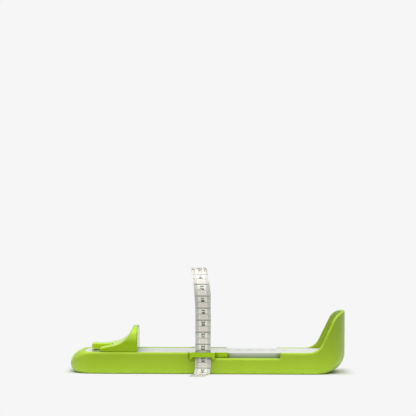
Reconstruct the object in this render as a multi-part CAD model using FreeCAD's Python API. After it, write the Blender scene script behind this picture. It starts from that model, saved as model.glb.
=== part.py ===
import FreeCAD, Part
import math
import os

# Foot measuring device: a tray with a heel cup, a measuring deck, a toe slider with a thumb
# release, and a carriage that holds a measuring tape looped over the foot.
# Millimetres. X runs from the toe end (-X) to the heel end (+X), Y from the near side (-Y) to
# the far side (+Y), Z up. The origin is the centre of the tray's underside, which is the face
# that the device stands on.

Vec = FreeCAD.Vector

# ---- clearances shared by the pieces
RUN_GAP = 0.3           # between pieces that slide past each other
SEAT_GAP = 0.2          # round a piece that is dropped into another
PIN_GAP = 0.05          # radial, between the lever's bore and its pin
CUT_PAST = 1.0          # how far a cut runs on past the surface it opens
OVERLAP = 1.0           # how far the blocks of one moulding run into each other
TOUCH = 0.001           # two edges or faces this near lie together

# ---- tray
TRAY_LENGTH = 231.3
TRAY_WIDTH = 92.0
RIM_HEIGHT = 18.0
WALL = 2.8
FLOOR = 2.4
SIDE_EDGE_RADIUS = 2.5  # round along the bottom of the side walls
RIM_RADIUS = 1.0
RIM_CHAMFER = 0.4       # along the inner edge of the rim
NOSE_TOP_RADIUS = 11.0  # the toe end's upper round
NOSE_BAND = 0.2         # left flat between it and the lower round
NOSE_LAND = 0.7         # flat rim between the upper round and the tray's inside
NOSE_CORNER = 24.0      # corners and ends are arcs in plan
NOSE_BULGE = 340.0
HEEL_RADIUS = 17.0      # round under the heel end
CAVITY_STEPS = 3        # slopes that follow it inside
HEEL_CORNER = 28.0
HEEL_BULGE = 110.0

# ---- heel cup
CUP_RISE = 34.1         # above the rim
CUP_DEPTH = 32.0        # from the heel end to where the rim begins to rise
CUP_FOOT_RADIUS = 13.0
CUP_TOP_RADIUS = 13.0
CUP_SLOPE = 65.0        # degrees

# ---- windows in both side walls, in which the tape carriage slides
WINDOW_START = -15.7
WINDOW_LENGTH = 75.5
WINDOW_DEPTH = 4.65     # from the rim down to the sill
SILL_RADIUS = 1.3

# ---- measuring deck
DECK_DROP = 0.5         # top of the deck below the rim
DECK_PLATE = 2.0
SKIRT_DEPTH = 5.0
SKIRT_THICKNESS = 1.6
SLOT_WIDTH = 2.9        # between the deck's skirt and the tray's wall
SLOT_SETBACK = 18.9     # from the toe end to the start of the slots
SLOT_END_MARGIN = 0.5   # the slots run on past the windows by this much
DECK_RIB = 1.2
DECK_RIB_DEPTH = 3.0
DECK_RIB_OFFSET = 13.0
DECK_CROSS_RIBS = 5
DECK_BOSS_RADIUS = 3.3
PILOT_RADIUS = 1.2
PILOT_DEPTH = 8.0

# ---- deck screws, from below
SCREW_FROM_TOE = 27.9
SCREW_MIDDLE = -26.0
SCREW_FROM_HEEL = 37.9
SCREW_OFFSET = 24.0
SCREW_SHANK_RADIUS = 1.4
SCREW_LENGTH = 9.0
SCREW_HEAD_RADIUS = 2.7
SCREW_HEAD_HEIGHT = 1.8
SCREW_HEAD_CHAMFER = 0.6
SCREW_SINK = 0.8        # head below the tray's underside
CROSS_WIDTH = 0.8
CROSS_LENGTH = 3.0
CROSS_DEPTH = 1.0
TRAY_BOSS_RADIUS = 4.4
TRAY_BOSS_FLOOR = 2.0   # under the screw's head
COUNTERBORE_GAP = 0.4
SCREW_HOLE_GAP = 0.3

# ---- toe slider
SLIDER_SETBACK = 25.4   # from the toe end to the slider's tip, at rest
SLIDER_LENGTH = 31.4    # from the tip to the face that meets the toes
SLIDER_RISE = 20.2      # above the rim
TIP_RISE = 3.0
SLIDER_INSET = 1.0      # slider's side inside the tray's side
RAMP_LOW_SLOPE = 12.0   # degrees
RAMP_HIGH_SLOPE = 65.0
RAMP_RADIUS = 18.0
FIN_THICKNESS = 4.2     # of the slider's upright at its top
SLIDER_TIP_RADIUS = 1.0
SHOULDER_RADIUS = 14.0
CROWN_RISE = 0.6
SLIDER_WALL = 2.2
SLIDER_SIDE_WALL = 3.0
SLIDER_EDGE_RADIUS = 1.1
RUNNER_REACH = 6.4      # ahead of the tip
RUNNER_THICKNESS = 0.8
RUNNER_WIDTH = 4.5
LEG_THICKNESS = 1.9
LEG_SETBACK = 4.5       # from the tip
LEG_LENGTH = 22.0
LEG_ROOT = 3.0          # how far the leg runs up inside the slider
HOOK_THICKNESS = 1.5
HOOK_REACH = 2.2        # under the deck's skirt
NOTCH_HALF = 13.0       # the notch holds the lever's thumb block
NOTCH_LENGTH = 9.5
BRACKET_THICKNESS = 1.8

# ---- thumb release lever, its pin, spring and brake pad
LEVER_GAP = 0.6         # between the lever and the notch's sides
THUMB_GAP = 0.4         # and its end
THUMB_REACH = 7.4       # ahead of the slider's tip
THUMB_LIFT = 1.35       # above the deck
THUMB_HEIGHT = 4.9
THUMB_EDGE_RADIUS = 0.8
GROOVE_LENGTH = 10.0    # hollow for the thumb, across the top of the block
GROOVE_DEPTH = 0.4
ARM_HALF = 8.0
ARM_THICKNESS = 1.9
ARM_LIFT = 1.2          # above the deck
ARM_SETBACK = 5.5       # from the slider's face
PIVOT_SETBACK = 14.0    # from the slider's tip
PIVOT_RISE = 1.4        # above the underside of the arm
PIN_RADIUS = 1.25
BARREL_WALL = 1.0
BRAKE_LENGTH = 3.4
BRAKE_HALF = 7.0
BRAKE_GROOVES = 2
BRAKE_GROOVE_WIDTH = 0.4
BRAKE_GROOVE_DEPTH = 0.4
SPRING_SETBACK = 3.0    # from the arm's end
SPRING_RADIUS = 1.9     # to the middle of the wire
SPRING_WIRE = 0.45
SPRING_WIRE_SIDES = 6
SPRING_TURNS = 3
SPRING_HEIGHT = 4.8
WELL_GAP = 0.4          # round the lever's arm, barrel and spring, inside the slider
SEAT_RADIUS = 3.0
PEG_RADIUS = 1.3
PEG_HEIGHT = 1.0

# ---- tape carriage
CARRIAGE_REST = 0.4     # from the end of the window, at rest
CARRIAGE_LENGTH = 31.6
CARRIAGE_RECESS = 2.4   # the block's face inside the tray's side
YOKE_THICKNESS = 2.5
YOKE_MARGIN = 3.0       # the yoke is this much shorter than the blocks at each end
CLIP_LENGTH = 21.0
CLIP_LEG = 2.2
CLIP_BAR_HEIGHT = 3.9
CLIP_BAR = 1.8
CLIP_LEG_HEIGHT = 5.5
TAPE_SLACK = 0.25       # between the tape and the clip's bar

# ---- measuring tape
TAPE_WIDTH = 13.0
TAPE_SETBACK = 11.15    # from the carriage's end to the middle of the tape
TAPE_THICKNESS = 0.45
LOOP_RISE = 69.0        # above the rim
LOOP_CORNER = 28.0
TAIL_BEND = 9.0
TAIL_FLAT = 26.0
TAIL_POINT = 3.0
TAPE_CLEAR = 0.35       # between the tape and the tray's side
FOLD_BELOW = 1.55       # the folded end passes this far under the bar
FOLD_FLAT = 0.01        # between the two bends under the bar
FOLD_RISE = 2.0         # the outer layer stands straight this far above the bar
FOLD_SLANT = 3.5
FOLD_LAP = 6.0
FOLD_RADIUS = 2.5
LAP_GAP = 0.08
RIVET_SHANK = 0.9
RIVET_HEAD = 2.2
RIVET_HEAD_HEIGHT = 0.5

# ---- worked out from the sizes above
TOE_X = -TRAY_LENGTH / 2
HEEL_X = TRAY_LENGTH / 2
HALF = TRAY_WIDTH / 2
INNER_HALF = HALF - WALL
NOSE_LOW_RADIUS = RIM_HEIGHT - NOSE_BAND - NOSE_TOP_RADIUS
CAVITY_TOE = TOE_X + NOSE_TOP_RADIUS + NOSE_LAND
CAVITY_HEEL = HEEL_X - WALL
CAVITY_TOE_CORNER = NOSE_CORNER - NOSE_TOP_RADIUS - NOSE_LAND
CAVITY_HEEL_CORNER = HEEL_CORNER - WALL
CUP_START = HEEL_X - CUP_DEPTH
CUP_HEIGHT = RIM_HEIGHT + CUP_RISE
WINDOW_END = WINDOW_START + WINDOW_LENGTH
WINDOW_SILL = RIM_HEIGHT - WINDOW_DEPTH
DECK_TOP = RIM_HEIGHT - DECK_DROP
DECK_UNDER = DECK_TOP - DECK_PLATE
SKIRT_BOTTOM = DECK_TOP - SKIRT_DEPTH
SKIRT_FACE = INNER_HALF - SLOT_WIDTH
SLOT_START = TOE_X + SLOT_SETBACK
SLOT_END = WINDOW_END + SLOT_END_MARGIN
SCREW_STATIONS = (TOE_X + SCREW_FROM_TOE, SCREW_MIDDLE, HEEL_X - SCREW_FROM_HEEL)
SCREW_HEAD_TOP = SCREW_SINK + SCREW_HEAD_HEIGHT
TRAY_BOSS_TOP = SCREW_HEAD_TOP + TRAY_BOSS_FLOOR
SLIDER_TIP = TOE_X + SLIDER_SETBACK
SLIDER_FACE = SLIDER_TIP + SLIDER_LENGTH
SLIDER_HEIGHT = RIM_HEIGHT + SLIDER_RISE
SLIDER_TIP_HEIGHT = RIM_HEIGHT + TIP_RISE
SLIDER_HALF = HALF - SLIDER_INSET
SLIDER_BOTTOM = RIM_HEIGHT + RUN_GAP
RUNNER_TIP = SLIDER_TIP - RUNNER_REACH
LEG_START = SLIDER_TIP + LEG_SETBACK
LEG_END = LEG_START + LEG_LENGTH
LEG_OUTER = INNER_HALF - (SLOT_WIDTH - LEG_THICKNESS) / 2
LEG_INNER = LEG_OUTER - LEG_THICKNESS
HOOK_TOP = SKIRT_BOTTOM - RUN_GAP
NOTCH_END = SLIDER_TIP + NOTCH_LENGTH
BRACKET_OUTER = NOTCH_HALF + BRACKET_THICKNESS
THUMB_TIP = SLIDER_TIP - THUMB_REACH
THUMB_END = NOTCH_END - THUMB_GAP
THUMB_BOTTOM = DECK_TOP + THUMB_LIFT
THUMB_TOP = THUMB_BOTTOM + THUMB_HEIGHT
ARM_BOTTOM = DECK_TOP + ARM_LIFT
ARM_TOP = ARM_BOTTOM + ARM_THICKNESS
ARM_END = SLIDER_FACE - ARM_SETBACK
PIVOT_X = SLIDER_TIP + PIVOT_SETBACK
PIVOT_Z = ARM_BOTTOM + PIVOT_RISE
BARREL_RADIUS = PIN_RADIUS + PIN_GAP + BARREL_WALL
SPRING_X = ARM_END - SPRING_SETBACK
SPRING_TOP = ARM_TOP + SPRING_HEIGHT
CARRIAGE_START = WINDOW_START + CARRIAGE_REST
CARRIAGE_END = CARRIAGE_START + CARRIAGE_LENGTH
CLIP_END = CARRIAGE_START + CLIP_LENGTH
TAPE_CENTRE = CARRIAGE_START + TAPE_SETBACK
TAPE_LINE = HALF + TAPE_CLEAR + TAPE_THICKNESS / 2
LOOP_TOP = RIM_HEIGHT + LOOP_RISE
BAR_INNER = TAPE_LINE + TAPE_THICKNESS / 2 + TAPE_SLACK
BAR_OUTER = BAR_INNER + CLIP_BAR
BAR_BOTTOM = RIM_HEIGHT - CLIP_BAR_HEIGHT
CLIP_LEG_BOTTOM = RIM_HEIGHT - CLIP_LEG_HEIGHT


# ---- shapes used by several pieces
def box(x0, x1, y0, y1, z0, z1):
    return Part.makeBox(x1 - x0, y1 - y0, z1 - z0, Vec(x0, y0, z0))


def rod(radius, start, end):
    along = end - start
    return Part.makeCylinder(radius, along.Length, start, along)


def both_sides(shape):
    return [shape, shape.mirror(Vec(0, 0, 0), Vec(0, 1, 0))]


def fused(first, others):
    return first.fuse(others).removeSplitter()


def in_plan(z):
    return lambda u, v: Vec(u, v, z)


def in_side_view(y):
    return lambda u, v: Vec(u, y, v)


def in_end_view(x):
    return lambda u, v: Vec(x, u, v)


def unit(u, v):
    length = math.hypot(u, v)
    return u / length, v / length


def corner_points(before, corner, after, radius):
    """Start, middle and end of the arc that rounds one corner of a path."""
    ax, ay = unit(before[0] - corner[0], before[1] - corner[1])
    bx, by = unit(after[0] - corner[0], after[1] - corner[1])
    half_angle = math.acos(max(-1.0, min(1.0, ax * bx + ay * by))) / 2
    reach = radius / math.tan(half_angle)
    mx, my = unit(ax + bx, ay + by)
    centre = (corner[0] + mx * radius / math.sin(half_angle), corner[1] + my * radius / math.sin(half_angle))
    middle = (centre[0] - mx * radius, centre[1] - my * radius)
    start = (corner[0] + ax * reach, corner[1] + ay * reach)
    end = (corner[0] + bx * reach, corner[1] + by * reach)
    return start, middle, end


def rounded_wire(points, radii, place, closed=True):
    """Straight runs through the points, with an arc of its own radius at each."""
    count = len(points)
    spots = []
    for i, (point, radius) in enumerate(zip(points, radii)):
        if radius > 0:
            spots.append(corner_points(points[i - 1], point, points[(i + 1) % count], radius))
        else:
            spots.append((point, None, point))
    edges = []
    for i, (start, middle, end) in enumerate(spots):
        if middle is not None:
            edges.append(Part.Arc(place(*start), place(*middle), place(*end)).toShape())
        if closed or i + 1 < count:
            following = spots[(i + 1) % count][0]
            if math.hypot(following[0] - end[0], following[1] - end[1]) > 1e-6:
                edges.append(Part.LineSegment(place(*end), place(*following)).toShape())
    return Part.Wire(edges)


def sharp_wire(points, place):
    return rounded_wire(points, [0] * len(points), place)


def prism(wire, along):
    return Part.Face(wire).extrude(along)


def extrude_side_view(points, radii, half_width):
    wire = rounded_wire(points, radii, in_side_view(-half_width))
    return prism(wire, Vec(0, 2 * half_width, 0))


def edges_where(shape, test):
    return [edge for edge in shape.Edges if test(edge.BoundBox)]


# ---- tray
def end_outline(tip, half, corner, bulge, side):
    """Points of one rounded end in plan: side 1 is the heel end, side -1 the toe end."""
    centre = tip - side * bulge
    corner_x = centre + side * math.sqrt((bulge - corner) ** 2 - (half - corner) ** 2)
    dx, dy = unit(corner_x - centre, half - corner)
    joint = (centre + bulge * dx, bulge * dy)
    ux, uy = unit(dx, dy + 1)
    middle = (corner_x + corner * ux, half - corner + corner * uy)
    return (corner_x, half), middle, joint, (tip, 0.0)


def outline(toe, heel, half, toe_corner, heel_corner, z):
    """Closed plan outline with two straight sides and a rounded toe end and heel end."""
    place = in_plan(z)

    def near(point):
        return place(point[0], -point[1])

    def far(point):
        return place(point[0], point[1])

    h_side, h_mid, h_joint, h_tip = end_outline(heel, half, heel_corner, HEEL_BULGE, 1)
    t_side, t_mid, t_joint, t_tip = end_outline(toe, half, toe_corner, NOSE_BULGE, -1)
    return Part.Wire([
        Part.LineSegment(near(t_side), near(h_side)).toShape(),
        Part.Arc(near(h_side), near(h_mid), near(h_joint)).toShape(),
        Part.Arc(near(h_joint), far(h_tip), far(h_joint)).toShape(),
        Part.Arc(far(h_joint), far(h_mid), far(h_side)).toShape(),
        Part.LineSegment(far(h_side), far(t_side)).toShape(),
        Part.Arc(far(t_side), far(t_mid), far(t_joint)).toShape(),
        Part.Arc(far(t_joint), near(t_tip), near(t_joint)).toShape(),
        Part.Arc(near(t_joint), near(t_mid), near(t_side)).toShape(),
    ])


def rounded(solid, edges, radius_at):
    """Solid with its edges rounded, the radius running evenly along an edge whose ends differ."""
    numbers = [i for i, edge in enumerate(solid.Edges, 1) if any(edge.isSame(chosen) for chosen in edges)]
    rounds = []
    for number in numbers:
        first, last = [radius_at(vertex.Point) for vertex in
                       (solid.Edges[number - 1].firstVertex(), solid.Edges[number - 1].lastVertex())]
        rounds.append((number, first, last))
    rounds.sort(key=lambda entry: entry[1] == entry[2])
    document = FreeCAD.newDocument("rounds")
    base = document.addObject("Part::Feature", "base")
    base.Shape = solid
    feature = document.addObject("Part::Fillet", "rounds")
    feature.Base = base
    feature.Edges = rounds
    document.recompute()
    result = feature.Shape.copy()
    FreeCAD.closeDocument(document.Name)
    return result


def rim_profile():
    """Side view of everything under the rim and the rising edge of the heel cup."""
    lean = math.tan(math.radians(CUP_SLOPE))
    foot_x = CUP_START + CUP_FOOT_RADIUS * math.tan(math.radians(CUP_SLOPE / 2))
    top_x = foot_x + CUP_RISE / lean
    toe, heel = TOE_X - CUT_PAST, HEEL_X + CUT_PAST
    points = [(toe, -CUT_PAST), (heel, -CUT_PAST), (heel, CUP_HEIGHT), (top_x, CUP_HEIGHT),
              (foot_x, RIM_HEIGHT), (toe, RIM_HEIGHT)]
    return extrude_side_view(points, [0, 0, 0, CUP_TOP_RADIUS, CUP_FOOT_RADIUS, 0], HALF + CUT_PAST)


def on_wall(edge, plan):
    """Whether an edge lies on the upright wall over a plan outline."""
    middle = edge.valueAt((edge.FirstParameter + edge.LastParameter) / 2)
    foot = Part.Vertex(Vec(middle.x, middle.y, plan.BoundBox.ZMin))
    return plan.distToShape(foot)[0] < TOUCH


def hull():
    """Outside of the tray: rounded all along its underside, its toe end and its rim."""
    plan = outline(TOE_X, HEEL_X, HALF, NOSE_CORNER, HEEL_CORNER, 0)
    block = prism(plan, Vec(0, 0, CUP_HEIGHT + CUT_PAST)).common(rim_profile())
    toe_side = end_outline(TOE_X, HALF, NOSE_CORNER, NOSE_BULGE, -1)[0][0]
    heel_side = end_outline(HEEL_X, HALF, HEEL_CORNER, HEEL_BULGE, 1)[0][0]

    def radius_at(point):
        low = point.z < TOUCH
        if point.x < toe_side - TOUCH:
            return NOSE_LOW_RADIUS if low else NOSE_TOP_RADIUS
        if low and point.x > heel_side + TOUCH:
            return HEEL_RADIUS
        return SIDE_EDGE_RADIUS if low else RIM_RADIUS

    edges = [edge for edge in block.Edges if on_wall(edge, plan)
             and (edge.BoundBox.ZMax < TOUCH or edge.BoundBox.ZMin > RIM_HEIGHT - TOUCH)]
    return rounded(block, edges, radius_at)


def cavity_outline(drawn_in, z):
    """Plan outline of the tray's inside, its heel end drawn in by a distance."""
    return outline(CAVITY_TOE, CAVITY_HEEL - drawn_in, INNER_HALF, CAVITY_TOE_CORNER,
                   CAVITY_HEEL_CORNER - drawn_in / 2, z)


def cavity():
    """Inside of the tray, upright round the deck and drawn in below it over the heel's round."""
    reach, depth = HEEL_RADIUS - WALL, DECK_UNDER - FLOOR
    sections = []
    for step in range(CAVITY_STEPS + 1):
        angle = math.pi / 2 * step / CAVITY_STEPS
        sections.append(cavity_outline(reach * (1 - math.sin(angle)), FLOOR + depth * (1 - math.cos(angle))))
    lower = Part.makeLoft(sections, True, True)
    return lower.fuse(prism(cavity_outline(0, DECK_UNDER), Vec(0, 0, CUP_HEIGHT)))


def screw_places():
    return [(x, y) for x in SCREW_STATIONS for y in (-SCREW_OFFSET, SCREW_OFFSET)]


def base_tray():
    tray = hull().cut(cavity())
    inner_plan = cavity_outline(0, 0)
    inner_rim = [edge for edge in edges_where(tray, lambda b: b.ZMin > RIM_HEIGHT - TOUCH)
                 if on_wall(edge, inner_plan)]
    tray = tray.makeChamfer(RIM_CHAMFER, inner_rim)

    windows = both_sides(box(WINDOW_START, WINDOW_END, -HALF - CUT_PAST, -SKIRT_FACE,
                             WINDOW_SILL, RIM_HEIGHT + CUT_PAST))
    tray = tray.cut(windows)
    sills = edges_where(tray, lambda b: abs(b.ZMin - WINDOW_SILL) < TOUCH and b.ZLength < TOUCH
                        and b.YLength < TOUCH and max(abs(b.YMin), abs(b.YMax)) > HALF - SILL_RADIUS)
    tray = tray.makeFillet(SILL_RADIUS, sills)

    bosses = [rod(TRAY_BOSS_RADIUS, Vec(x, y, FLOOR / 2), Vec(x, y, TRAY_BOSS_TOP))
              for x, y in screw_places()]
    tray = fused(tray, bosses)
    head_room = SCREW_HEAD_RADIUS + COUNTERBORE_GAP
    holes = [rod(head_room, Vec(x, y, -CUT_PAST), Vec(x, y, SCREW_HEAD_TOP)) for x, y in screw_places()]
    holes += [rod(SCREW_SHANK_RADIUS + SCREW_HOLE_GAP, Vec(x, y, 0), Vec(x, y, TRAY_BOSS_TOP + CUT_PAST))
              for x, y in screw_places()]
    return tray.cut(holes)


# ---- measuring deck and its screws
def deck_ribs():
    """Ribs under the plate: two along the deck and some across, between the skirts."""
    z0, z1 = DECK_UNDER - DECK_RIB_DEPTH, DECK_UNDER
    ribs = both_sides(box(SLOT_START, SCREW_STATIONS[-1], DECK_RIB_OFFSET, DECK_RIB_OFFSET + DECK_RIB,
                          z0, z1))
    pitch = (SLOT_END - SLOT_START) / DECK_CROSS_RIBS
    for i in range(DECK_CROSS_RIBS):
        x = SLOT_START + (i + 0.5) * pitch
        ribs.append(box(x, x + DECK_RIB, -SKIRT_FACE, SKIRT_FACE, z0, z1))
    return ribs


def measuring_deck():
    plan = outline(CAVITY_TOE + SEAT_GAP, CAVITY_HEEL - SEAT_GAP, INNER_HALF - SEAT_GAP,
                   CAVITY_TOE_CORNER - SEAT_GAP, CAVITY_HEEL_CORNER - SEAT_GAP, DECK_UNDER)
    plate = prism(plan, Vec(0, 0, DECK_PLATE))
    slots = both_sides(box(SLOT_START, SLOT_END, -HALF, -SKIRT_FACE,
                           DECK_UNDER - CUT_PAST, DECK_TOP + CUT_PAST))
    deck = plate.cut(slots)
    skirts = both_sides(box(SLOT_START, SLOT_END, -SKIRT_FACE, -SKIRT_FACE + SKIRT_THICKNESS,
                            SKIRT_BOTTOM, DECK_UNDER))
    bosses = [rod(DECK_BOSS_RADIUS, Vec(x, y, TRAY_BOSS_TOP), Vec(x, y, DECK_UNDER))
              for x, y in screw_places()]
    deck = fused(deck, skirts + deck_ribs() + bosses)
    pilots = [rod(PILOT_RADIUS, Vec(x, y, TRAY_BOSS_TOP - CUT_PAST), Vec(x, y, TRAY_BOSS_TOP + PILOT_DEPTH))
              for x, y in screw_places()]
    return deck.cut(pilots)


def deck_screw(x, y):
    """Screw with a cross recess, head downwards; its shank cuts its own thread."""
    head = rod(SCREW_HEAD_RADIUS, Vec(x, y, SCREW_SINK), Vec(x, y, SCREW_HEAD_TOP))
    head = head.makeChamfer(SCREW_HEAD_CHAMFER, edges_where(head, lambda b: b.ZMax < SCREW_SINK + TOUCH))
    shank = rod(PILOT_RADIUS, Vec(x, y, SCREW_SINK + CROSS_DEPTH), Vec(x, y, SCREW_HEAD_TOP + SCREW_LENGTH))
    half_width, half_length = CROSS_WIDTH / 2, CROSS_LENGTH / 2
    z0, z1 = SCREW_SINK - CUT_PAST, SCREW_SINK + CROSS_DEPTH
    cross = [box(x - half_length, x + half_length, y - half_width, y + half_width, z0, z1),
             box(x - half_width, x + half_width, y - half_length, y + half_length, z0, z1)]
    return fused(head, [shank]).cut(cross)


# ---- toe slider
def ramp_line():
    """Where the slider's low and high slopes would meet, in side view."""
    low = math.tan(math.radians(RAMP_LOW_SLOPE))
    high = math.tan(math.radians(RAMP_HIGH_SLOPE))
    fin_x = SLIDER_FACE - FIN_THICKNESS
    x = (SLIDER_HEIGHT - SLIDER_TIP_HEIGHT + low * SLIDER_TIP - high * fin_x) / (low - high)
    return x, SLIDER_TIP_HEIGHT + low * (x - SLIDER_TIP)


def ramp_points(bottom):
    fin_x = SLIDER_FACE - FIN_THICKNESS
    lean = 1 / math.tan(math.radians(RAMP_HIGH_SLOPE))
    above = SLIDER_HEIGHT + CUT_PAST
    points = [(SLIDER_FACE, bottom), (SLIDER_FACE, above), (fin_x + lean * CUT_PAST, above),
              ramp_line(), (SLIDER_TIP, SLIDER_TIP_HEIGHT), (SLIDER_TIP, bottom)]
    return points, [0, 0, 0, RAMP_RADIUS, SLIDER_TIP_RADIUS, 0]


def arch(half, drop):
    """Prism along X under the slider's arched outline, lowered and narrowed by a wall."""
    shoulder_top = SLIDER_HEIGHT - CROWN_RISE - drop
    peak = SLIDER_HEIGHT - drop
    side_z = shoulder_top - SHOULDER_RADIUS
    top_y = half - SHOULDER_RADIUS
    turn = math.sqrt(0.5) * SHOULDER_RADIUS
    place = in_end_view(SLIDER_TIP - CUT_PAST)
    far, far_top = place(half, side_z), place(top_y, shoulder_top)
    far_turn = place(top_y + turn, side_z + turn)
    near, near_turn, near_top = [Vec(point.x, -point.y, point.z) for point in (far, far_turn, far_top)]
    wire = Part.Wire([
        Part.LineSegment(place(-half, 0), place(half, 0)).toShape(),
        Part.LineSegment(place(half, 0), far).toShape(),
        Part.Arc(far, far_turn, far_top).toShape(),
        Part.Arc(far_top, place(0, peak), near_top).toShape(),
        Part.Arc(near_top, near_turn, near).toShape(),
        Part.LineSegment(near, place(-half, 0)).toShape(),
    ])
    return prism(wire, Vec(SLIDER_LENGTH + 2 * CUT_PAST, 0, 0))


def ramp_outline(body):
    """Edges round the slider's upright and down the sides of its ramp."""
    low_end = SLIDER_TIP + SLIDER_TIP_RADIUS / 2
    edges = []
    for edge in body.Edges:
        b = edge.BoundBox
        across = b.XLength < TOUCH and b.ZLength < TOUCH
        upright = b.XLength < TOUCH and b.YLength < TOUCH
        along_shoulder = b.YLength < TOUCH and b.ZLength < TOUCH
        above = b.XMax > low_end and b.ZMin > SLIDER_BOTTOM + SLIDER_TIP_RADIUS
        if above and not (across or upright or along_shoulder):
            edges.append(edge)
    return edges


def slider_leg():
    """Near-side leg down the slot, with the hook that catches under the deck's skirt."""
    hook_end, hook_bottom = -LEG_INNER + HOOK_REACH, HOOK_TOP - HOOK_THICKNESS
    leg = box(LEG_START, LEG_END, -LEG_OUTER, -LEG_INNER, hook_bottom, SLIDER_BOTTOM + LEG_ROOT)
    hook = [(-LEG_INNER, HOOK_TOP), (hook_end, HOOK_TOP), (hook_end, HOOK_TOP - HOOK_THICKNESS / 2),
            (-LEG_INNER, hook_bottom)]
    wire = sharp_wire(hook, in_end_view(LEG_START))
    return leg.fuse(prism(wire, Vec(LEG_END - LEG_START, 0, 0)))


def toe_slider():
    points, radii = ramp_points(SLIDER_BOTTOM)
    under_ramp = extrude_side_view(points, radii, SLIDER_HALF)
    body = under_ramp.common(arch(SLIDER_HALF, 0))
    body = body.makeFillet(SLIDER_EDGE_RADIUS, ramp_outline(body))

    open_points, open_radii = ramp_points(SLIDER_BOTTOM - 3 * SLIDER_WALL)
    shell_wire = rounded_wire(open_points, open_radii, in_side_view(0))
    inner_wire = shell_wire.makeOffset2D(-SLIDER_WALL)
    inner_half = SLIDER_HALF - SLIDER_SIDE_WALL
    inner_wire.translate(Vec(0, -inner_half, 0))
    hollow = prism(inner_wire, Vec(0, 2 * inner_half, 0)).common(arch(inner_half, SLIDER_WALL))
    notch = box(SLIDER_TIP - CUT_PAST, NOTCH_END, -NOTCH_HALF, NOTCH_HALF, 0, SLIDER_HEIGHT)
    slider = body.cut([hollow, notch])

    bracket = box(SLIDER_TIP, SLIDER_FACE, -BRACKET_OUTER, -NOTCH_HALF, SLIDER_BOTTOM, SLIDER_HEIGHT)
    brackets = both_sides(bracket.common(under_ramp))
    runner_side = -SLIDER_HALF + SLIDER_EDGE_RADIUS
    runners = both_sides(box(RUNNER_TIP, NOTCH_END, runner_side, runner_side + RUNNER_WIDTH,
                             SLIDER_BOTTOM, SLIDER_BOTTOM + RUNNER_THICKNESS))
    seat = rod(SEAT_RADIUS, Vec(SPRING_X, 0, SPRING_TOP), Vec(SPRING_X, 0, SLIDER_HEIGHT))
    seat = seat.common(under_ramp)
    legs = both_sides(slider_leg())
    slider = fused(slider, brackets + runners + legs + [seat])
    barrel_room = cross_rod(BARREL_RADIUS + WELL_GAP, NOTCH_HALF)
    spring_reach = SPRING_RADIUS + SPRING_WIRE + WELL_GAP
    spring_room = rod(spring_reach, Vec(SPRING_X, 0, 0), Vec(SPRING_X, 0, SPRING_TOP))
    arm_half = ARM_HALF + WELL_GAP
    arm_room = box(NOTCH_END - CUT_PAST, SPRING_X, -arm_half, arm_half, 0, ARM_TOP + WELL_GAP)
    return slider.cut([cross_rod(PIN_RADIUS, BRACKET_OUTER + CUT_PAST), arm_room, barrel_room, spring_room])


def cross_rod(radius, half_width):
    """Rod along the lever's axis."""
    return rod(radius, Vec(PIVOT_X, -half_width, PIVOT_Z), Vec(PIVOT_X, half_width, PIVOT_Z))


# ---- thumb release: lever, pin, spring and brake pad
def release_lever():
    half = NOTCH_HALF - LEVER_GAP
    block = box(THUMB_TIP, THUMB_END, -half, half, THUMB_BOTTOM, THUMB_TOP)
    block = block.makeFillet(THUMB_EDGE_RADIUS, edges_where(block, lambda b: b.ZMin > THUMB_BOTTOM + TOUCH))
    groove_radius = (GROOVE_LENGTH ** 2 / 4 + GROOVE_DEPTH ** 2) / (2 * GROOVE_DEPTH)
    groove_x, groove_z = (THUMB_TIP + THUMB_END) / 2, THUMB_TOP + groove_radius - GROOVE_DEPTH
    groove = rod(groove_radius, Vec(groove_x, -NOTCH_HALF, groove_z), Vec(groove_x, NOTCH_HALF, groove_z))
    arm = box(THUMB_END - OVERLAP, ARM_END, -ARM_HALF, ARM_HALF, ARM_BOTTOM, ARM_TOP)
    barrel = cross_rod(BARREL_RADIUS, half)
    peg = rod(PEG_RADIUS, Vec(SPRING_X, 0, ARM_TOP - OVERLAP), Vec(SPRING_X, 0, ARM_TOP + PEG_HEIGHT))
    lever = fused(block.cut(groove), [arm, barrel, peg])
    return lever.cut(cross_rod(PIN_RADIUS + PIN_GAP, half + CUT_PAST))


def lever_pin():
    return cross_rod(PIN_RADIUS, BRACKET_OUTER)


def lever_spring():
    """Coil spring that pushes the brake end of the lever down on the deck."""
    rise = SPRING_HEIGHT - SPRING_WIRE
    helix = Part.makeHelix(rise / SPRING_TURNS, rise, SPRING_RADIUS)
    corners = []
    for i in range(SPRING_WIRE_SIDES + 1):
        angle = 2 * math.pi * i / SPRING_WIRE_SIDES
        corners.append(Vec(SPRING_RADIUS + SPRING_WIRE / 2 * math.cos(angle), 0,
                           SPRING_WIRE / 2 * math.sin(angle)))
    coil = Part.Wire(helix.Edges).makePipeShell([Part.makePolygon(corners)], True, True)
    coil.translate(Vec(SPRING_X, 0, ARM_TOP + SPRING_WIRE / 2))
    return coil


def brake_pad():
    """Rubber block under the end of the arm, grooved across where it meets the deck."""
    bottom = DECK_TOP + RUN_GAP
    pad = box(ARM_END - BRAKE_LENGTH, ARM_END, -BRAKE_HALF, BRAKE_HALF, bottom, ARM_BOTTOM)
    pitch = BRAKE_LENGTH / BRAKE_GROOVES
    grooves = []
    for i in range(BRAKE_GROOVES):
        x = ARM_END - BRAKE_LENGTH + (i + 0.5) * pitch
        grooves.append(box(x - BRAKE_GROOVE_WIDTH / 2, x + BRAKE_GROOVE_WIDTH / 2, -HALF, HALF,
                           bottom - CUT_PAST, bottom + BRAKE_GROOVE_DEPTH))
    return pad.cut(grooves)


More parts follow.
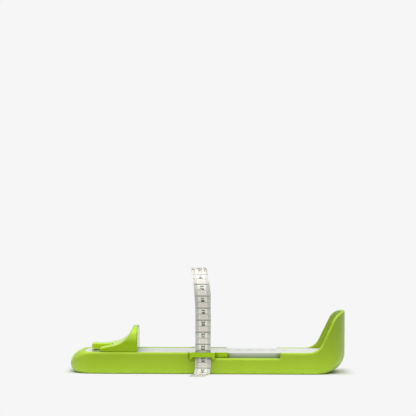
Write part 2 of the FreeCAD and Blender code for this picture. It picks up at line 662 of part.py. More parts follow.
# ---- tape carriage
def tape_carriage():
    """Yoke under the deck, with a block in each window and a clip outside each wall."""
    block_outer = HALF - CARRIAGE_RECESS
    block_bottom = WINDOW_SILL + RUN_GAP
    leg_outer = INNER_HALF - RUN_GAP
    leg_inner = SKIRT_FACE + RUN_GAP
    yoke_start, yoke_end = CARRIAGE_START + YOKE_MARGIN, CARRIAGE_END - YOKE_MARGIN
    yoke_top = SKIRT_BOTTOM - RUN_GAP
    yoke_bottom = yoke_top - YOKE_THICKNESS
    yoke = box(yoke_start, yoke_end, -leg_outer, leg_outer, yoke_bottom, yoke_top)
    near = [box(yoke_start, yoke_end, -leg_outer, -leg_inner, yoke_bottom, block_bottom),
            box(CARRIAGE_START, CLIP_END, -BAR_OUTER, -BAR_INNER, BAR_BOTTOM, RIM_HEIGHT)]
    for x in (CARRIAGE_START, CLIP_END - CLIP_LEG):
        near.append(box(x, x + CLIP_LEG, -BAR_OUTER, -block_outer + OVERLAP, block_bottom, RIM_HEIGHT))
        near.append(box(x, x + CLIP_LEG, -BAR_OUTER, -HALF - RUN_GAP, CLIP_LEG_BOTTOM, block_bottom))
    block = box(CARRIAGE_START, CARRIAGE_END, -block_outer, -leg_inner, block_bottom, RIM_HEIGHT)
    return fused(yoke, both_sides(fused(block, near)))


# ---- measuring tape
def tape_route():
    """Middle line of the tape in end view, from the tip of the tail to the riveted end."""
    on_floor = TAPE_THICKNESS / 2
    turn_bottom = BAR_BOTTOM - FOLD_BELOW
    outer_layer = BAR_OUTER + TAPE_SLACK + TAPE_THICKNESS / 2
    lap = TAPE_LINE + TAPE_THICKNESS + LAP_GAP
    straight_top = RIM_HEIGHT + FOLD_RISE
    turn = (outer_layer - TAPE_LINE - FOLD_FLAT) / 2
    corners = [
        ((-TAPE_LINE - TAIL_BEND - TAIL_FLAT, on_floor), 0),
        ((-TAPE_LINE, on_floor), TAIL_BEND),
        ((-TAPE_LINE, LOOP_TOP), LOOP_CORNER),
        ((TAPE_LINE, LOOP_TOP), LOOP_CORNER),
        ((TAPE_LINE, turn_bottom), turn),
        ((outer_layer, turn_bottom), turn),
        ((outer_layer, straight_top), FOLD_RADIUS),
        ((lap, straight_top + FOLD_SLANT), FOLD_RADIUS),
        ((lap, straight_top + FOLD_SLANT + FOLD_LAP), 0),
    ]
    return [point for point, _ in corners], [radius for _, radius in corners]


def beside_route(points, radii, offset):
    """The route moved sideways by an offset, with the radii of its bends to match."""
    moved, bent = [], []
    for i, ((u, v), radius) in enumerate(zip(points, radii)):
        before = points[i - 1] if i else None
        after = points[i + 1] if i + 1 < len(points) else None
        inward = unit(u - before[0], v - before[1]) if before else None
        outward = unit(after[0] - u, after[1] - v) if after else None
        inward, outward = inward or outward, outward or inward
        nu, nv = unit(-inward[1] - outward[1], inward[0] + outward[0])
        stretch = offset / (nu * -inward[1] + nv * inward[0])
        moved.append((u + nu * stretch, v + nv * stretch))
        turn = inward[0] * outward[1] - inward[1] * outward[0]
        bent.append(radius - math.copysign(offset, turn) if radius else 0)
    return moved, bent


def measuring_tape():
    points, radii = tape_route()
    left, left_radii = beside_route(points, radii, TAPE_THICKNESS / 2)
    right, right_radii = beside_route(points, radii, -TAPE_THICKNESS / 2)
    start = TAPE_CENTRE - TAPE_WIDTH / 2
    wire = rounded_wire(left + right[::-1], left_radii + right_radii[::-1], in_end_view(start))
    strip = prism(wire, Vec(TAPE_WIDTH, 0, 0))
    tip = points[0][0]
    wedges = []
    for side in (-1, 1):
        reach = TAPE_WIDTH / 2 + CUT_PAST
        edge, shoulder = TAPE_CENTRE + side * reach, tip + reach * TAIL_POINT / (TAPE_WIDTH / 2)
        corner = [(TAPE_CENTRE, tip), (edge, shoulder), (edge, tip - CUT_PAST), (TAPE_CENTRE, tip - CUT_PAST)]
        wedges.append(prism(sharp_wire(corner, in_plan(-CUT_PAST)), Vec(0, 0, 2 * CUT_PAST)))
    z = rivet_z()
    hole = rod(RIVET_SHANK, Vec(TAPE_CENTRE, HALF, z), Vec(TAPE_CENTRE, BAR_OUTER + CUT_PAST, z))
    return strip.cut(wedges + [hole])


def rivet_z():
    return RIM_HEIGHT + FOLD_RISE + FOLD_SLANT + FOLD_LAP / 2


def tape_rivet():
    """Rivet through both layers of the folded end."""
    inside = TAPE_LINE - TAPE_THICKNESS / 2
    outside = TAPE_LINE + 1.5 * TAPE_THICKNESS + LAP_GAP
    z = rivet_z()
    shank = rod(RIVET_SHANK, Vec(TAPE_CENTRE, inside, z), Vec(TAPE_CENTRE, outside, z))
    heads = [rod(RIVET_HEAD, Vec(TAPE_CENTRE, inside - RIVET_HEAD_HEIGHT, z), Vec(TAPE_CENTRE, inside, z)),
             rod(RIVET_HEAD, Vec(TAPE_CENTRE, outside, z), Vec(TAPE_CENTRE, outside + RIVET_HEAD_HEIGHT, z))]
    return fused(shank, heads)


def tape_length():
    points, radii = tape_route()
    return rounded_wire(points, radii, in_end_view(0), closed=False).Length


def write_nodes():
    os.makedirs("parts", exist_ok=True)
    nodes = {
        "base_tray": base_tray(),
        "measuring_deck": measuring_deck(),
        "toe_slider": toe_slider(),
        "release_lever": release_lever(),
        "lever_pin": lever_pin(),
        "lever_spring": lever_spring(),
        "brake_pad": brake_pad(),
        "tape_carriage": tape_carriage(),
        "measuring_tape": measuring_tape(),
        "tape_rivet": tape_rivet(),
    }
    for number, (x, y) in enumerate(screw_places(), 1):
        nodes[f"deck_screw_{number}"] = deck_screw(x, y)
    for name, shape in nodes.items():
        solids = shape.Solids
        volume = sum(solid.Volume for solid in solids)
        print(f"{name}: {len(solids)} solid, {volume:.1f} mm3, valid {shape.isValid()}")
        (solids[0] if len(solids) == 1 else shape).exportStep(f"parts/{name}.step")
    print(f"tape length {tape_length():.1f} mm")


write_nodes()
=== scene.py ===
import bisect
import bpy
import math
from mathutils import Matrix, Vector


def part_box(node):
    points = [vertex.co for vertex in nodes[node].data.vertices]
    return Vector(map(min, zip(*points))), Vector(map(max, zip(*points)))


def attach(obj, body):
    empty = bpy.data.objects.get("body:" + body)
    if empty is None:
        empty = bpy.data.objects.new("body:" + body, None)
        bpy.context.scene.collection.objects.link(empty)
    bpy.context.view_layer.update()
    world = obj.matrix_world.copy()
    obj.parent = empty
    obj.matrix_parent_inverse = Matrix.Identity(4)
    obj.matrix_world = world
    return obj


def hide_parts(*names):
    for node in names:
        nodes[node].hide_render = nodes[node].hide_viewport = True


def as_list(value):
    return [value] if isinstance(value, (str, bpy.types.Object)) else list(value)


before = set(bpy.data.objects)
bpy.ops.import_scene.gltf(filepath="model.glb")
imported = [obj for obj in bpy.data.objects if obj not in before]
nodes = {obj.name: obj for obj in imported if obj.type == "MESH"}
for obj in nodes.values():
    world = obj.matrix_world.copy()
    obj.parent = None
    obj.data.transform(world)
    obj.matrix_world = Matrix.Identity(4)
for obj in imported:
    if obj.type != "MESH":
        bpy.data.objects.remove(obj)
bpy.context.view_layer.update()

# Foot measuring device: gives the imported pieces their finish, lays the measuring tape through
# its clips, prints plain scales on the tape and on the deck, and sets the studio.
# Metres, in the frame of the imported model: X to the heel end, -Y to the near side, Z up.

MM = 0.001

# ---- camera, solved from the photograph
FOCAL_PIXELS = 2767.0
FRAME_PIXELS = 416
SENSOR_MM = 36.0
CAMERA_X, CAMERA_Y, CAMERA_Z = -0.52 * MM, -2346.0 * MM, 138.2 * MM
CAMERA_ROLL = -0.27     # degrees

# ---- light and background, as linear values
BACKDROP = 0.922        # the pale background that the camera sees
FRONT_HORIZON, FRONT_MIDDLE = 0.25, 0.375   # the sky on the near side, low and higher up
BACK_HORIZON, BACK_MIDDLE = 1.0, 0.375      # the sky behind the object
BEHIND = 0.7, 0.97      # Y of a direction at which the lit backdrop begins and is full
LOW_SKY = 0.05, 0.25    # Z of a direction over which it passes to the middle of the sky
OVERHEAD = 3.3          # a broad soft box
OVERHEAD_EDGE = 0.62, 0.86  # cosine of the angle from its axis at which it begins and is full
OVERHEAD_TILT = 14.0    # degrees from straight above towards the near side
BELOW_HORIZON = 0.125
HORIZON = -0.05, 0.0    # Z of a direction over which what is below passes to the sky

# ---- floor
FLOOR_REACH = 30.0      # metres from the object to the floor's ends
FLOOR_ALBEDO = 0.563    # as the camera and reflections see it
FLOOR_NEAR_ALBEDO = 1.35  # what the object gets back from the floor beside it
FLOOR_FAR_ALBEDO = 0.20   # and from further away
FLOOR_BRIGHT = 6 * MM, 50 * MM  # distances from the tray over which it passes from one to the other
SHADE_OUTSIDE = 0.30    # share of the floor's shadow kept in front of the tray and behind it
SHADE_FADE = 3 * MM     # over which it drops to that share
SHADE_REACH = 10 * MM   # past the tray's ends

# ---- surfaces
LIME_GLOSS = 0.8, 1.0, 0.25, 1  # tint of what the green plastic reflects
PLASTIC_IOR, TAPE_IOR = 1.5, 1.45
SAMPLES = {"samples": 8}        # of the rounded edges and of the painted shade in corners
GRAIN_DEPTH = 0.02 * MM
COLOUR_PATCHES = 35             # features to the metre
GLOSS_PATCHES = 90
TRAY_GRAIN = 700, 0.25          # features to the metre and strength of a mould's grain
GREEN_GRAIN = 700, 0.15
DECK_GRAIN = 1500, 0.5
RUBBER_GRAIN = 2500, 0.7
TRAY_EDGE = 4.0 * MM            # rounded edges, in the shading
GREEN_EDGE = 0.7 * MM
THUMB_EDGE = 1.2 * MM
# painted highlights: rounded edges that look up are made paler, standing in for the light they catch
TRAY_PAINTED_HIGHLIGHT = 1.32, 0.12, 0.5    # how much paler, and the normal's Z at which that begins and is full
SLIDER_PAINTED_HIGHLIGHT = 1.5, 0.6, 0.97
CLIP_PAINTED_HIGHLIGHT = 1.3, 0.1, 0.5
# painted shade: a dark colour mixed in where ambient occlusion finds other surfaces close by
PAINTED_SHADE_OPENNESS = 0.45, 0.95        # how open a corner is with its full painted shade, and without it
DECK_PAINTED_SHADE = (0.15, 0.29, 0.003, 1), 6.3 * MM, True   # dark colour (painted shade, with a green cast for light bounced from the tray), reach, upright faces only
SLIDER_PAINTED_SHADE = (0.08, 0.14, 0.003, 1), 0.7 * MM
CLIP_PAINTED_SHADE = (0.09, 0.17, 0.003, 1), 4.5 * MM
TAPE_PAINTED_SHADE = (0.20, 0.21, 0.15, 1), 9.0 * MM
LEVEL_FACE = 0.7                # Z of the normal of a face that doesn't count as upright
HEEL_FACE = 0.97                # X of the normal of a face that looks to the heel
POLISHED = 0.16                 # its roughness on the slider
COAT, COAT_ROUGHNESS = 0.7, 0.35    # of the tape and its print
CLOTH_PATCHES = 120
THREADS = 420.0                 # of the tape's weave
THREAD_RELIEF = 0.35, 0.03 * MM     # strength and depth
INK_PATCHES = 1500
METAL_PATCHES = 900
METAL_GRAIN = 2500, 0.1
METAL_DEPTH = 0.01 * MM

# ---- measuring tape
TAPE_WIDTH = 13.0 * MM
TAPE_THICKNESS = 0.4 * MM
TAPE_STEP = 0.5 * MM            # between the strip's rows
STRIP_COLUMNS = 0.5, 0.96       # of half the width, between the middle and the edges
THIN_EDGE = 0.6                 # of the thickness
TAIL_POINT = 3.0 * MM           # how far its tip stands before its corners

# Its line in end view is given by corners, and touches each run between them halfway.
LEG_OUT = 0.575 * MM            # a leg's line, outside the tray's side
TAIL_FLAT = 20 * MM             # a corner on the floor, before the near leg
LEG_LOW, LEG_HIGH = 19 * MM, 31 * MM    # corners on the near leg
FAR_LEG_LOW = 18 * MM           # a corner on the far leg
FOLD_OUT = 0.45 * MM            # the folded end's line, outside the far clip
FOLD_UNDER = 12.55 * MM         # height at which it passes under the clip's bar
FOLD_LOW, FOLD_HIGH = 17 * MM, 20 * MM  # corners outside the bar
FOLD_BACK = 0.5 * MM, 3.5 * MM  # how far outside the leg it laps it, and how much higher that begins
FOLD_TOP = 29.5 * MM            # the tape's far end

# It leans sideways, and its tail drifts.
TAPE_LEAN = -4.0 * MM           # at the top of the loop
NEAR_TOP = 0.999                # of the loop's height, where the near leg counts as ended
LEAN_FROM, LEAN_PAST_TOP = 45 * MM, 13 * MM     # begins at a height, is full past the near leg
LEAN_BACK, LEAN_BACK_RUN = 66 * MM, 34 * MM     # gone so far before the end, over this length
TAIL_DRIFT = -5.0 * MM          # at the tail's tip
DRIFT_RUN = 40 * MM

# ---- tape print
PRINT_LIFT = 0.04 * MM          # over the tape's face
PRINT_SHARE = 0.97              # of half the width
PRINT_MARGINS = 6 * MM, 4 * MM  # left bare at the tail's tip and at the far end
CENTIMETRE = 10 * MM
LINE_HEIGHT = 24.8 * MM         # a full line's place on the near leg
FULL_LINE = 0.3 * MM            # half the width of a centimetre's line
FIVE_LINE = 0.16 * MM           # of the one halfway between two centimetres
MM_LINE = 0.12 * MM             # and of a millimetre's
EDGE_LINE = 2.7 * MM            # length of a millimetre's line
FIRST_TICK, FIRST_DIGIT = 5 * MM, 8 * MM    # from the tail's tip
DIGIT_SHARE = 0.73              # height of a digit, of the font's size
DIGIT_HEIGHT = 2.7 * MM
DIGIT_PLACE = 2.9 * MM          # beside its line
DIGIT_BOLD = 0.06               # of the height
RED_ROWS = 4                    # pale red lines beyond each number
RED_START, RED_STEP = 6.0 * MM, 0.9 * MM    # the first one's place, and from one to the next
RED_LINE = 0.36 * MM            # width
RED_REACH = 2.6 * MM            # half the length

# ---- deck print
CUP_WALL = 2.8 * MM     # a heel stands against its inner face
FOOT_SHORT, FOOT_LONG, SIZE_STEP = 125, 180, 5  # numbered foot lengths, in millimetres
SIZE_DIGITS = 2.2 * MM
SIZE_PLACE, SIZE_LINE_PLACE = 12 * MM, 5.5 * MM     # across the deck, from its middle
SIZE_LINE, SIZE_LINE_LENGTH = 0.2 * MM, 3.6 * MM    # half its width, and its length
BAR_FROM, BAR_TO = 45, 115      # the chequered bar, in millimetres from the heel
BAR_FIELD = 5 * MM              # length of a filled or an empty field
BAR_PLACE, BAR_HEIGHT, BAR_EDGE = 6 * MM, 6 * MM, 0.3 * MM
RULE_PLACE, RULE_DIGIT_PLACE = -31 * MM, -24 * MM   # across the deck
RULE_LAST = FOOT_LONG + 1
RULE_LINE = 0.12 * MM           # half the width of a line
RULE_TENS, RULE_FIVES, RULE_ONES = 4.2 * MM, 3.0 * MM, 1.8 * MM     # lengths of its lines
SOLE_LENGTH = 150 * MM          # of the drawn foot
SOLE_SETBACK = 4                # millimetres from the cup's inner face
SOLE_BLUNT = 0.6                # 1 for elliptic ends, less for blunter ones
SOLE_HEEL, SOLE_TOES = 0.125, 0.06          # half the width, and what it gains, of the length
SOLE_WAIST, WAIST_TURNS, WAIST_FROM = 0.022, 1.7, 0.12  # a wave along it, from this place
SOLE_BEND = 0.03                # sideways at the toes
DECK_INK = 0.35 * MM            # width of the outline's line
PRINT_ON_DECK = 0.02 * MM       # over the deck's face


# ---- materials
def shader(name, **sockets):
    """New material, with sockets of its principled shader set."""
    made = bpy.data.materials.new(name)
    made.use_nodes = True
    tree = made.node_tree
    principled = tree.nodes["Principled BSDF"]
    for socket, value in sockets.items():
        principled.inputs[socket.replace("_", " ")].default_value = value
    return made, tree, principled


def node(tree, kind, settings=(), **sockets):
    made = tree.nodes.new(kind)
    for setting, value in dict(settings).items():
        setattr(made, setting, value)
    for socket, value in sockets.items():
        made.inputs[socket.replace("_", " ")].default_value = value
    return made


def math_node(tree, operation, first, second):
    made = node(tree, "ShaderNodeMath", {"operation": operation})
    for socket, value in zip(made.inputs, (first, second)):
        if isinstance(value, (int, float)):
            socket.default_value = value
        else:
            tree.links.new(value, socket)
    return made.outputs["Value"]


def noise(tree, scale, detail=2.0, stretch=(1, 1, 1)):
    """Noise in the piece's own metres, with this many features to the metre."""
    where = node(tree, "ShaderNodeTexCoord")
    mapping = node(tree, "ShaderNodeMapping", Scale=stretch)
    made = node(tree, "ShaderNodeTexNoise", Scale=scale, Detail=detail)
    tree.links.new(where.outputs["Object"], mapping.inputs["Vector"])
    tree.links.new(mapping.outputs["Vector"], made.inputs["Vector"])
    return made.outputs["Fac"]


def blend_colours(tree, factor, low, high, start=0.3, end=0.7):
    made = node(tree, "ShaderNodeValToRGB")
    made.color_ramp.elements[0].position, made.color_ramp.elements[0].color = start, low
    made.color_ramp.elements[1].position, made.color_ramp.elements[1].color = end, high
    tree.links.new(factor, made.inputs["Fac"])
    return made.outputs["Color"]


def between(tree, factor, low, high, start=0.0, end=1.0):
    made = node(tree, "ShaderNodeMapRange", From_Min=start, From_Max=end, To_Min=low, To_Max=high)
    tree.links.new(factor, made.inputs["Value"])
    return made.outputs["Result"]


def own_normal(tree):
    """X, Y and Z of the normal, in the piece's own axes."""
    split = node(tree, "ShaderNodeSeparateXYZ")
    tree.links.new(node(tree, "ShaderNodeTexCoord").outputs["Normal"], split.inputs["Vector"])
    return split.outputs


def bump(tree, principled, height, strength, distance, rounded=None):
    """Relief from a height, over a rounded normal where one is given."""
    made = node(tree, "ShaderNodeBump", Strength=strength, Distance=distance)
    tree.links.new(height, made.inputs["Height"])
    if rounded:
        tree.links.new(rounded, made.inputs["Normal"])
    tree.links.new(made.outputs["Normal"], principled.inputs["Normal"])


def paler_upwards(tree, colour, normal, gain, start, end):
    """Painted highlight: the colour, this much paler where the plastic's rounded edge looks up."""
    split = node(tree, "ShaderNodeSeparateXYZ")
    tree.links.new(normal, split.inputs["Vector"])
    made = node(tree, "ShaderNodeVectorMath", {"operation": "SCALE"})
    tree.links.new(colour, made.inputs["Vector"])
    tree.links.new(between(tree, split.outputs["Z"], 1.0, gain, start, end), made.inputs["Scale"])
    return made.outputs["Vector"]


def in_corners(tree, colour, dark, reach, upright=False):
    """Painted shade: the colour, turning to a dark one in corners, within this reach of other surfaces.
    """
    corner = node(tree, "ShaderNodeAmbientOcclusion", SAMPLES, Distance=reach)
    mix = node(tree, "ShaderNodeMix", {"data_type": "RGBA"})
    open_share = between(tree, corner.outputs["AO"], 0, 1, *PAINTED_SHADE_OPENNESS)
    if upright:
        slope = math_node(tree, "ABSOLUTE", own_normal(tree)["Z"], 0)
        level = math_node(tree, "GREATER_THAN", slope, LEVEL_FACE)
        open_share = math_node(tree, "MAXIMUM", open_share, level)
    tree.links.new(open_share, mix.inputs["Factor"])
    mix.inputs[6].default_value = dark  # 6 and 7 are its two colours, and 2 is the mixed one
    tree.links.new(colour, mix.inputs[7])
    return mix.outputs[2]


def plastic(name, low, high, roughness, grain, gloss=0.5, edge=0.0, tint=(1, 1, 1, 1), polished=None,
            painted_shade=None, painted_highlight=None):
    """Moulded plastic: nearly even colour, roughness that varies, and a mould's grain.

    Its edges can be rounded in the shading and given a painted highlight where they look up, its faces
    towards the heel polished to a roughness of their own, and its corners given painted shade."""
    made, tree, principled = shader(name, IOR=PLASTIC_IOR, Specular_IOR_Level=gloss, Specular_Tint=tint)
    colour = blend_colours(tree, noise(tree, COLOUR_PATCHES), low, high)
    rough = between(tree, noise(tree, GLOSS_PATCHES, detail=4), *roughness)
    rounded = None
    if edge:
        rounded = node(tree, "ShaderNodeBevel", SAMPLES, Radius=edge).outputs["Normal"]
    # painted highlight: paler colour on rounded edges that look up
    if painted_highlight:
        colour = paler_upwards(tree, colour, rounded, *painted_highlight)
    # painted shade in corners
    if painted_shade:
        colour = in_corners(tree, colour, *painted_shade)
    if polished:
        towards_heel = math_node(tree, "GREATER_THAN", own_normal(tree)["X"], HEEL_FACE)
        mix = node(tree, "ShaderNodeMix", {"data_type": "FLOAT"}, B=polished)
        tree.links.new(towards_heel, mix.inputs["Factor"])
        tree.links.new(rough, mix.inputs["A"])
        rough = mix.outputs["Result"]
    tree.links.new(colour, principled.inputs["Base Color"])
    tree.links.new(rough, principled.inputs["Roughness"])
    features, strength = grain
    bump(tree, principled, noise(tree, features, detail=3), strength, GRAIN_DEPTH, rounded)
    return made


def metal(name, colour, roughness, stretch):
    """Metal whose roughness and fine relief can be drawn out along an axis."""
    made, tree, principled = shader(name, Metallic=1.0, Base_Color=colour)
    rough = between(tree, noise(tree, METAL_PATCHES, 3, stretch), *roughness)
    tree.links.new(rough, principled.inputs["Roughness"])
    features, strength = METAL_GRAIN
    bump(tree, principled, noise(tree, features, 2, stretch), strength, METAL_DEPTH)
    return made


def cloth(name, low, high):
    """Coated fibreglass tape: a fine plain weave under a thin coat, with painted shade next to its clips.
    """
    made, tree, principled = shader(name, IOR=TAPE_IOR, Roughness=0.55, Coat_Weight=COAT,
                                    Coat_Roughness=COAT_ROUGHNESS, Subsurface_Weight=0.6,
                                    Subsurface_Scale=MM, Subsurface_Radius=(1.0, 1.0, 0.8))
    colour = blend_colours(tree, noise(tree, CLOTH_PATCHES, detail=3), low, high)
    # painted shade beside the clips
    colour = in_corners(tree, colour, *TAPE_PAINTED_SHADE)
    tree.links.new(colour, principled.inputs["Base Color"])
    where = node(tree, "ShaderNodeTexCoord")
    threads = []
    for direction in ("X", "Z"):
        bands = {"bands_direction": direction}
        wave = node(tree, "ShaderNodeTexWave", bands, Scale=THREADS, Distortion=0.4)
        tree.links.new(where.outputs["Object"], wave.inputs["Vector"])
        threads.append(wave.outputs["Fac"])
    bump(tree, principled, math_node(tree, "ADD", *threads), *THREAD_RELIEF)
    return made


def ink(name, low, high):
    """Printed ink, with the tape's coat over it."""
    made, tree, principled = shader(name, Roughness=0.6, Coat_Weight=COAT, Coat_Roughness=COAT_ROUGHNESS)
    colour = blend_colours(tree, noise(tree, INK_PATCHES), low, high)
    tree.links.new(colour, principled.inputs["Base Color"])
    return made


def grey(value):
    return value, value, value, 1


SATIN_GREEN = plastic("satin_green", (0.244, 0.373, 0.019, 1), (0.260, 0.395, 0.024, 1),
                      (0.38, 0.48), TRAY_GRAIN, gloss=0.6, edge=TRAY_EDGE, tint=LIME_GLOSS,
                      painted_highlight=TRAY_PAINTED_HIGHLIGHT)
GLOSS_GREEN = plastic("gloss_green", (0.236, 0.383, 0.007, 1), (0.251, 0.404, 0.010, 1),
                      (0.26, 0.32), GREEN_GRAIN, gloss=0.6, edge=GREEN_EDGE, tint=LIME_GLOSS,
                      polished=POLISHED, painted_shade=SLIDER_PAINTED_SHADE, painted_highlight=SLIDER_PAINTED_HIGHLIGHT)
CLIP_GREEN = plastic("clip_green", (0.290, 0.465, 0.009, 1), (0.305, 0.485, 0.012, 1),
                     (0.26, 0.32), GREEN_GRAIN, gloss=0.6, edge=GREEN_EDGE, tint=LIME_GLOSS,
                     painted_shade=CLIP_PAINTED_SHADE, painted_highlight=CLIP_PAINTED_HIGHLIGHT)
# painted highlight: the slider's green made paler for the thumb block, standing in for the light that
# falls on it
LIT_THUMB_GREEN = plastic("thumb_lit_green", (0.385, 0.560, 0.014, 1), (0.400, 0.580, 0.017, 1),
                      (0.26, 0.32), GREEN_GRAIN, gloss=0.5, edge=THUMB_EDGE, tint=LIME_GLOSS)
WHITE = plastic("deck_white", (0.52, 0.53, 0.50, 1), (0.56, 0.57, 0.54, 1),
                (0.5, 0.6), DECK_GRAIN, gloss=0.3, painted_shade=DECK_PAINTED_SHADE)
STEEL = metal("pin_steel", (0.62, 0.62, 0.60, 1), (0.25, 0.4), (0.1, 1, 1))
BRASS = metal("rivet_brass", (0.78, 0.60, 0.28, 1), (0.22, 0.38), (1, 1, 1))
RUBBER = plastic("brake_rubber", grey(0.022), grey(0.034), (0.65, 0.8), RUBBER_GRAIN)
CREAM = cloth("tape_cloth", (0.77, 0.76, 0.665, 1), (0.815, 0.805, 0.72, 1))
BLACK_INK = ink("black_ink", grey(0.035), grey(0.06))
RED_INK = ink("red_ink", (0.76, 0.64, 0.56, 1), (0.80, 0.69, 0.60, 1))
GREY_INK = ink("grey_ink", grey(0.16), grey(0.22))


def dress(made, *names):
    for name in names:
        mesh = nodes[name].data
        mesh.materials.clear()
        mesh.materials.append(made)


dress(SATIN_GREEN, "base_tray")
dress(GLOSS_GREEN, "toe_slider")
dress(CLIP_GREEN, "tape_carriage")
dress(LIT_THUMB_GREEN, "release_lever")
dress(WHITE, "measuring_deck")
dress(STEEL, "lever_pin", "lever_spring", *[name for name in nodes if name.startswith("deck_screw")])
dress(RUBBER, "brake_pad")
dress(BRASS, "tape_rivet")


# ---- meshes
def piece(name, vertices, faces, made, body, smooth=False):
    mesh = bpy.data.meshes.new(name)
    mesh.from_pydata(vertices, [], faces)
    mesh.materials.append(made)
    if smooth:
        mesh.shade_smooth()
    obj = bpy.data.objects.new(name, mesh)
    bpy.context.scene.collection.objects.link(obj)
    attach(obj, body)
    return obj


def numeral(text, height, bold=0.0):
    """Flat outline of a number: points (along, up) round its middle, and faces."""
    words = bpy.data.curves.new("numeral", "FONT")
    words.body = text
    words.size = height / DIGIT_SHARE
    words.resolution_u = 2
    words.offset = bold * height
    words.space_character = 1 + 2 * bold
    words.align_x, words.align_y = "CENTER", "CENTER"
    holder = bpy.data.objects.new("numeral", words)
    bpy.context.scene.collection.objects.link(holder)
    flat = bpy.data.meshes.new_from_object(holder.evaluated_get(bpy.context.evaluated_depsgraph_get()))
    points = [(vertex.co.x, vertex.co.y) for vertex in flat.vertices]
    faces = [tuple(face.vertices) for face in flat.polygons]
    bpy.data.objects.remove(holder)
    return points, faces


class Print:
    """Flat shapes gathered into one mesh; place(along, up) gives each point's position."""

    def __init__(self):
        self.vertices, self.faces = [], []

    def add(self, points, faces, place):
        first = len(self.vertices)
        self.vertices += [place(*point) for point in points]
        self.faces += [tuple(first + index for index in face) for face in faces]

    def bar(self, along, up, place):
        """A filled bar between two places along and two places up."""
        corners = [(along[0], up[0]), (along[1], up[0]), (along[1], up[1]), (along[0], up[1])]
        self.add(corners, [(0, 1, 2, 3)], place)


# ---- measuring tape: its middle line in end view, then the strip and its print
def smooth_step(value):
    value = min(max(value, 0), 1)
    return value * value * (3 - 2 * value)


class TapeLine:
    """Smooth line of the tape in end view, from the tip of the tail, measured along its length."""

    def __init__(self):
        tape_low, tape_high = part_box("measuring_tape")
        bar_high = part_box("tape_carriage")[1]
        tray_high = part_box("base_tray")[1]
        self.centre = (tape_low.x + tape_high.x) / 2
        self.top = tape_high.z - TAPE_THICKNESS / 2
        self.leg = tray_high.y + LEG_OUT
        outer = bar_high.y + FOLD_OUT
        lap, lap_rise = FOLD_BACK
        floor = TAPE_THICKNESS / 2
        under = tape_low.z + FOLD_UNDER
        corners = [(tape_low.y + TAPE_THICKNESS / 4, floor), (-self.leg - TAIL_FLAT, floor),
                   (-self.leg, floor), (-self.leg, LEG_LOW), (-self.leg, LEG_HIGH),
                   (-self.leg, self.top), (0, self.top), (self.leg, self.top),
                   (self.leg, LEG_HIGH), (self.leg, FAR_LEG_LOW), (self.leg, under),
                   (outer, under), (outer, FOLD_LOW), (outer, FOLD_HIGH),
                   (self.leg + lap, FOLD_HIGH + lap_rise), (self.leg + lap, tape_low.z + FOLD_TOP)]
        self.points = self.curve(corners)
        self.lengths = [0.0]
        for a, b in zip(self.points, self.points[1:]):
            self.lengths.append(self.lengths[-1] + math.dist(a, b))
        self.length = self.lengths[-1]

    @staticmethod
    def curve(corners, steps=24):
        """Parabolas that touch each run of the corners halfway along."""
        ends = [corners[0]]
        ends += [((a[0] + b[0]) / 2, (a[1] + b[1]) / 2) for a, b in zip(corners[1:], corners[2:-1])]
        ends += [corners[-1]]
        line = [corners[0]]
        for a, corner, b in zip(ends, corners[1:], ends[1:]):
            for step in range(1, steps + 1):
                t = step / steps
                weights = (1 - t) ** 2, 2 * t * (1 - t), t * t
                line.append(tuple(sum(w * p[i] for w, p in zip(weights, (a, corner, b))) for i in (0, 1)))
        return line

    def at(self, s):
        """Place and direction, in end view, at a length along the tape."""
        s = min(max(s, 0), self.length)
        i = min(bisect.bisect_right(self.lengths, s), len(self.points) - 1)
        a, b = self.points[i - 1], self.points[i]
        run = self.lengths[i] - self.lengths[i - 1]
        t = (s - self.lengths[i - 1]) / run
        return ((a[0] + (b[0] - a[0]) * t, a[1] + (b[1] - a[1]) * t),
                ((b[0] - a[0]) / run, (b[1] - a[1]) / run))

    def near_leg(self, height):
        """Length along the tape at a height on its near leg."""
        return next(s for s, point in zip(self.lengths, self.points) if point[1] >= height)

    def sideways(self, s):
        """How far the strip stands beside its clips: the loop leans, the tail drifts."""
        rise_start = self.near_leg(LEAN_FROM)
        rise_end = self.near_leg(self.top * NEAR_TOP) + LEAN_PAST_TOP
        fall_start = self.length - LEAN_BACK - LEAN_BACK_RUN
        lean = smooth_step((s - rise_start) / (rise_end - rise_start))
        lean -= smooth_step((s - fall_start) / LEAN_BACK_RUN)
        return TAPE_LEAN * lean + TAIL_DRIFT * smooth_step((DRIFT_RUN - s) / DRIFT_RUN)

    def place(self, s, across, lift):
        (y, z), (along_y, along_z) = self.at(s)
        return Vector((self.centre + self.sideways(s) + across, y - along_z * lift, z + along_y * lift))


def add_tape(line):
    """The strip: two layers of points, joined along its edges and its ends."""
    half = TAPE_WIDTH / 2
    inner = [share * half for share in (0, *STRIP_COLUMNS, 1)]
    columns = [-across for across in reversed(inner[1:])] + inner
    rows = int(line.length / TAPE_STEP)
    vertices, faces = [], []
    for side in (1, -1):
        for row in range(rows + 1):
            for across in columns:
                s = line.length * row / rows
                shoulder = TAIL_POINT * abs(across) / half
                s += shoulder * max(0, 1 - s / CENTIMETRE)
                edge = THIN_EDGE if abs(across) == half else 1
                vertices.append(line.place(s, across, side * TAPE_THICKNESS / 2 * edge))
    wide, layer = len(columns), (rows + 1) * len(columns)

    def quad(a, b, c, d, flip):
        faces.append((a, b, c, d) if flip else (d, c, b, a))

    for row in range(rows):
        for i in range(wide - 1):
            a = row * wide + i
            quad(a, a + 1, a + 1 + wide, a + wide, False)
            quad(layer + a, layer + a + 1, layer + a + 1 + wide, layer + a + wide, True)
        for i, flip in ((0, True), (wide - 1, False)):
            a = row * wide + i
            quad(a, a + wide, layer + a + wide, layer + a, not flip)
    for row, flip in ((0, True), (rows, False)):
        for i in range(wide - 1):
            a = row * wide + i
            quad(a, a + 1, layer + a + 1, layer + a, flip)
    return piece("tape_strip", vertices, faces, CREAM, "carriage", smooth=True)


